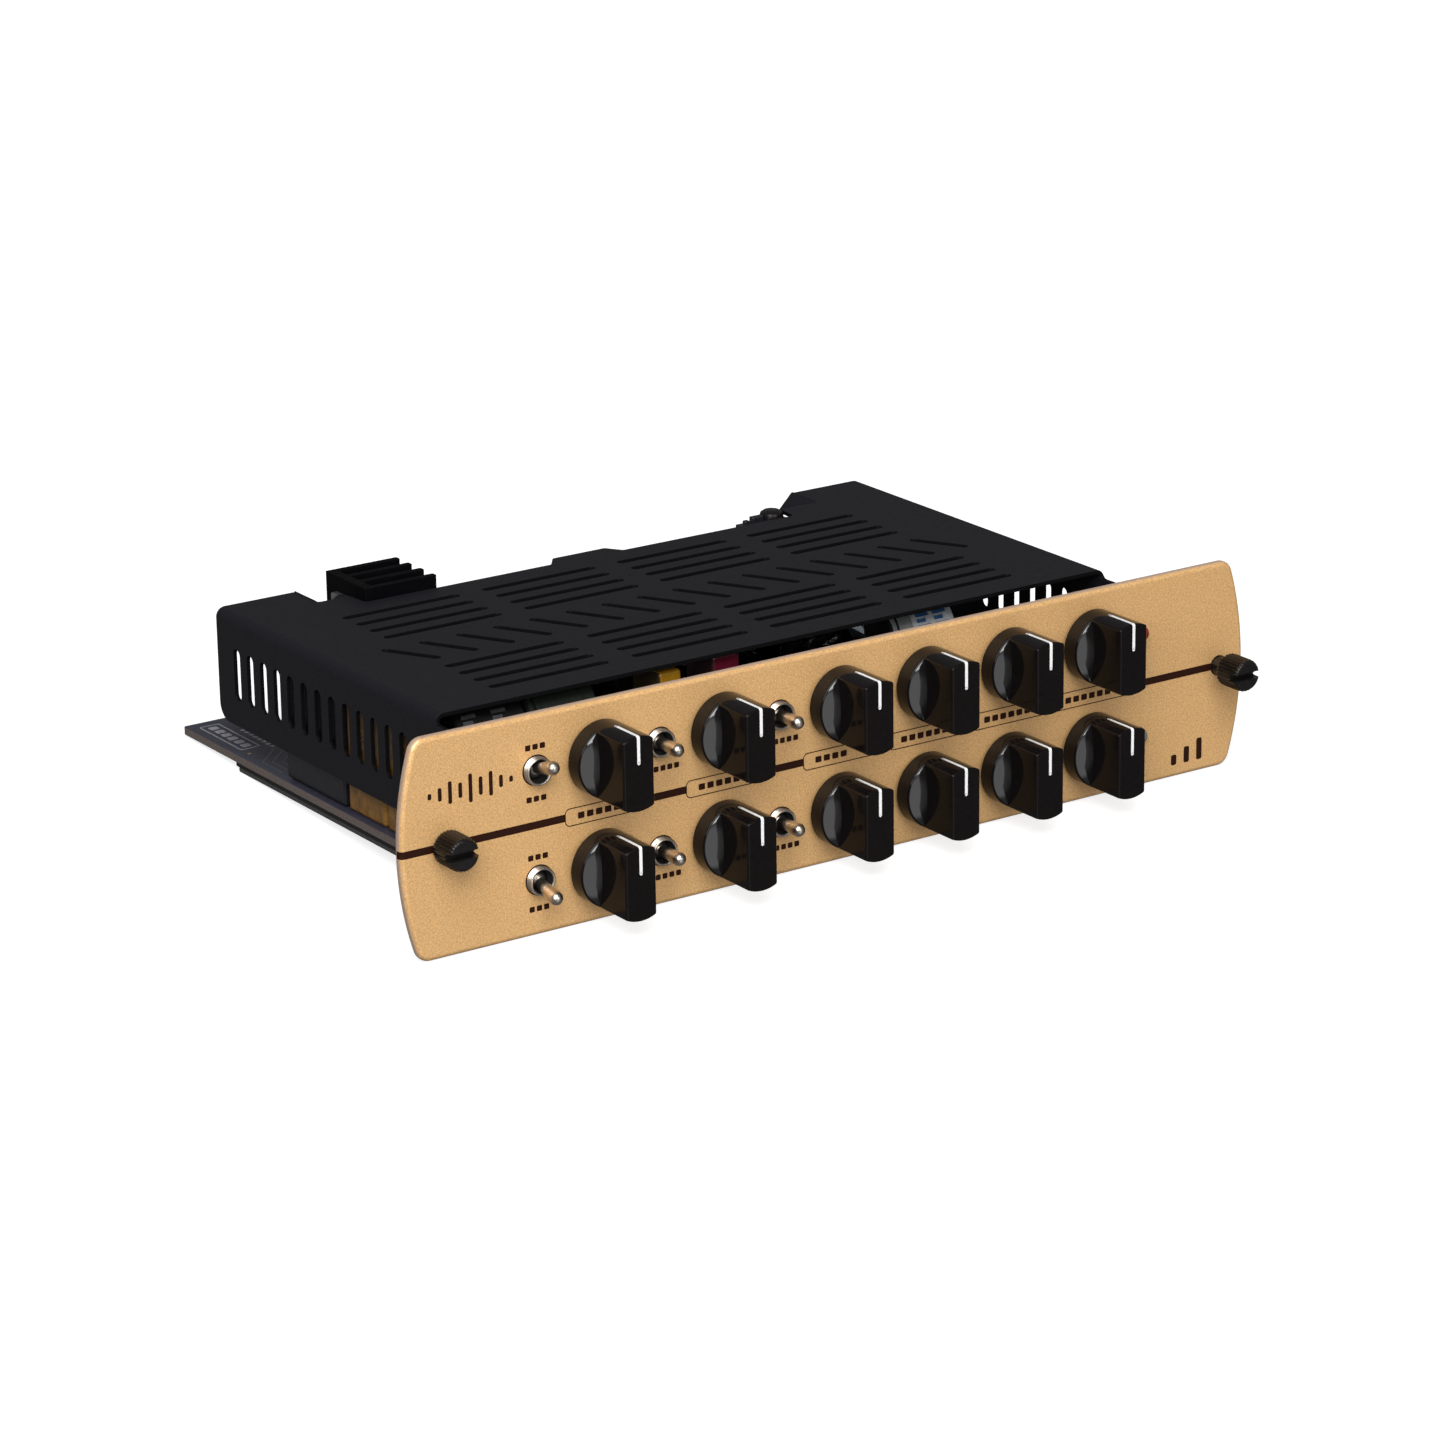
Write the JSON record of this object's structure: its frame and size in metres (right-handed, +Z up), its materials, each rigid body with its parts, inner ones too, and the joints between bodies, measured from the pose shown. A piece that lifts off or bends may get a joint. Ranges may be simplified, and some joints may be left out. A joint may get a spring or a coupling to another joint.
{
  "type": "guitar preamp module",
  "caption": "Plug-in preamp module of a guitar amp head: gold control panel with knobs and toggles, vented black cover, circuit tray, heat sink and captive thumbscrews.",
  "frame": {"origin": "centre of the panel's rear face, where the panel seats on the rack's frame", "axes": "+X along the panel to the right, +Y back into the rack, +Z up"},
  "size_m": [0.2, 0.138, 0.0436],
  "materials": {
    "gold_panel": "gold metallic paint",
    "black_sheet": "black powder coat",
    "insulator": "matt black sheet",
    "circuit_board": "dark solder mask",
    "gold_contact": "gold plated",
    "plain_metal": "plain steel",
    "bright_metal": "bright plated",
    "switch_case": "moulded",
    "red_lens": "tinted lens",
    "grey_lens": "milky lens",
    "black_aluminium": "black anodised",
    "black_plastic": "moulded",
    "valve_glass": "clear",
    "ceramic": "glazed",
    "brown_resin": "dipped",
    "can_sleeve": "printed sleeve",
    "yellow_resin": "moulded",
    "black_metal": "black oxide",
    "knob_black": "polished"
  },
  "bodies": {
    "chassis": {"front_panel": "gold_panel", "cover": "black_sheet", "bottom_plate": "black_sheet", "insulator_sheet": "insulator", "main_board": "circuit_board", "edge_contacts": "gold_contact", "control_board": "circuit_board", "upper_board": "circuit_board", "board_pillars": "plain_metal", "pot_bodies": "plain_metal", "pot_nuts": "plain_metal", "switch_bushings": "bright_metal", "switch_bodies": "switch_case", "lamp_red": "red_lens", "lamp_grey": "grey_lens", "heat_sink": "black_aluminium", "regulator": "black_plastic", "ground_terminal": "black_plastic", "rear_screws": "plain_metal", "valves": "valve_glass", "valve_sockets": "ceramic", "valve_board": "circuit_board", "relay_box": "black_plastic", "film_capacitors": "brown_resin", "can_capacitors": "can_sleeve", "box_capacitors": "yellow_resin"},
    "knob_upper_1": {"knob_upper_1": "knob_black", "shaft_upper_1": "plain_metal"},
    "knob_upper_2": {"knob_upper_2": "knob_black", "shaft_upper_2": "plain_metal"},
    "knob_upper_3": {"knob_upper_3": "knob_black", "shaft_upper_3": "plain_metal"},
    "knob_upper_4": {"knob_upper_4": "knob_black", "shaft_upper_4": "plain_metal"},
    "knob_upper_5": {"knob_upper_5": "knob_black", "shaft_upper_5": "plain_metal"},
    "knob_upper_6": {"knob_upper_6": "knob_black", "shaft_upper_6": "plain_metal"},
    "knob_lower_1": {"knob_lower_1": "knob_black", "shaft_lower_1": "plain_metal"},
    "knob_lower_2": {"knob_lower_2": "knob_black", "shaft_lower_2": "plain_metal"},
    "knob_lower_3": {"knob_lower_3": "knob_black", "shaft_lower_3": "plain_metal"},
    "knob_lower_4": {"knob_lower_4": "knob_black", "shaft_lower_4": "plain_metal"},
    "knob_lower_5": {"knob_lower_5": "knob_black", "shaft_lower_5": "plain_metal"},
    "knob_lower_6": {"knob_lower_6": "knob_black", "shaft_lower_6": "plain_metal"},
    "toggle_voice_upper": {"lever_voice_upper": "bright_metal"},
    "toggle_voice_lower": {"lever_voice_lower": "bright_metal"},
    "toggle_bright_1_upper": {"lever_bright_1_upper": "bright_metal"},
    "toggle_bright_1_lower": {"lever_bright_1_lower": "bright_metal"},
    "toggle_bright_2_upper": {"lever_bright_2_upper": "bright_metal"},
    "toggle_bright_2_lower": {"lever_bright_2_lower": "bright_metal"},
    "clip_left": {"screw_clip_left": "plain_metal"},
    "thumbscrew_left": {"thumbscrew_left": "black_metal"},
    "clip_right": {"screw_clip_right": "plain_metal"},
    "thumbscrew_right": {"thumbscrew_right": "black_metal"}
  },
  "joints": [
    {"name": "turn_upper_1", "type": "hinge", "parent": "chassis", "child": "knob_upper_1", "pos_m": [-0.0563, -0.0023, 0.01085], "axis": [0, 1, 0], "range_deg": [-150, 150]},
    {"name": "turn_upper_2", "type": "hinge", "parent": "chassis", "child": "knob_upper_2", "pos_m": [-0.0288, -0.0023, 0.01085], "axis": [0, 1, 0], "range_deg": [-150, 150]},
    {"name": "turn_upper_3", "type": "hinge", "parent": "chassis", "child": "knob_upper_3", "pos_m": [-0.0013, -0.0023, 0.01085], "axis": [0, 1, 0], "range_deg": [-150, 150]},
    {"name": "turn_upper_4", "type": "hinge", "parent": "chassis", "child": "knob_upper_4", "pos_m": [0.0193, -0.0023, 0.01085], "axis": [0, 1, 0], "range_deg": [-150, 150]},
    {"name": "turn_upper_5", "type": "hinge", "parent": "chassis", "child": "knob_upper_5", "pos_m": [0.0399, -0.0023, 0.01085], "axis": [0, 1, 0], "range_deg": [-150, 150]},
    {"name": "turn_upper_6", "type": "hinge", "parent": "chassis", "child": "knob_upper_6", "pos_m": [0.0605, -0.0023, 0.01085], "axis": [0, 1, 0], "range_deg": [-150, 150]},
    {"name": "turn_lower_1", "type": "hinge", "parent": "chassis", "child": "knob_lower_1", "pos_m": [-0.0563, -0.0023, -0.01085], "axis": [0, 1, 0], "range_deg": [-150, 150]},
    {"name": "turn_lower_2", "type": "hinge", "parent": "chassis", "child": "knob_lower_2", "pos_m": [-0.0288, -0.0023, -0.01085], "axis": [0, 1, 0], "range_deg": [-150, 150]},
    {"name": "turn_lower_3", "type": "hinge", "parent": "chassis", "child": "knob_lower_3", "pos_m": [-0.0013, -0.0023, -0.01085], "axis": [0, 1, 0], "range_deg": [-150, 150]},
    {"name": "turn_lower_4", "type": "hinge", "parent": "chassis", "child": "knob_lower_4", "pos_m": [0.0193, -0.0023, -0.01085], "axis": [0, 1, 0], "range_deg": [-150, 150]},
    {"name": "turn_lower_5", "type": "hinge", "parent": "chassis", "child": "knob_lower_5", "pos_m": [0.0399, -0.0023, -0.01085], "axis": [0, 1, 0], "range_deg": [-150, 150]},
    {"name": "turn_lower_6", "type": "hinge", "parent": "chassis", "child": "knob_lower_6", "pos_m": [0.0605, -0.0023, -0.01085], "axis": [0, 1, 0], "range_deg": [-150, 150]},
    {"name": "tilt_voice_upper", "type": "hinge", "parent": "chassis", "child": "toggle_voice_upper", "pos_m": [-0.0703, -0.0008, 0.01085], "axis": [1, 0, 0], "range_deg": [0, 30]},
    {"name": "tilt_voice_lower", "type": "hinge", "parent": "chassis", "child": "toggle_voice_lower", "pos_m": [-0.0703, -0.0008, -0.01085], "axis": [1, 0, 0], "range_deg": [-30, 0]},
    {"name": "tilt_bright_1_upper", "type": "hinge", "parent": "chassis", "child": "toggle_bright_1_upper", "pos_m": [-0.0429, -0.0008, 0.01085], "axis": [1, 0, 0], "range_deg": [-15, 15]},
    {"name": "tilt_bright_1_lower", "type": "hinge", "parent": "chassis", "child": "toggle_bright_1_lower", "pos_m": [-0.0429, -0.0008, -0.01085], "axis": [1, 0, 0], "range_deg": [-15, 15]},
    {"name": "tilt_bright_2_upper", "type": "hinge", "parent": "chassis", "child": "toggle_bright_2_upper", "pos_m": [-0.0154, -0.0008, 0.01085], "axis": [1, 0, 0], "range_deg": [-15, 15]},
    {"name": "tilt_bright_2_lower", "type": "hinge", "parent": "chassis", "child": "toggle_bright_2_lower", "pos_m": [-0.0154, -0.0008, -0.01085], "axis": [1, 0, 0], "range_deg": [-15, 15]},
    {"name": "feed_left", "type": "slide", "parent": "chassis", "child": "clip_left", "axis": [0, 1, 0], "range_m": [-0.004, 0]},
    {"name": "screw_left", "type": "hinge", "parent": "clip_left", "child": "thumbscrew_left", "pos_m": [-0.09, -0.0023, 0], "axis": [0, 1, 0], "range_deg": [-2057.2, 0]},
    {"name": "feed_right", "type": "slide", "parent": "chassis", "child": "clip_right", "axis": [0, 1, 0], "range_m": [-0.0011, 0.0029]},
    {"name": "screw_right", "type": "hinge", "parent": "clip_right", "child": "thumbscrew_right", "pos_m": [0.0936, -0.0023, 0], "axis": [0, 1, 0], "range_deg": [-565.8, 1491.5]}
  ],
  "couplings": [
    {"joint": "screw_left", "follows": "feed_left", "rad_per_m": 8976},
    {"joint": "screw_right", "follows": "feed_right", "rad_per_m": 8976}
  ]
}
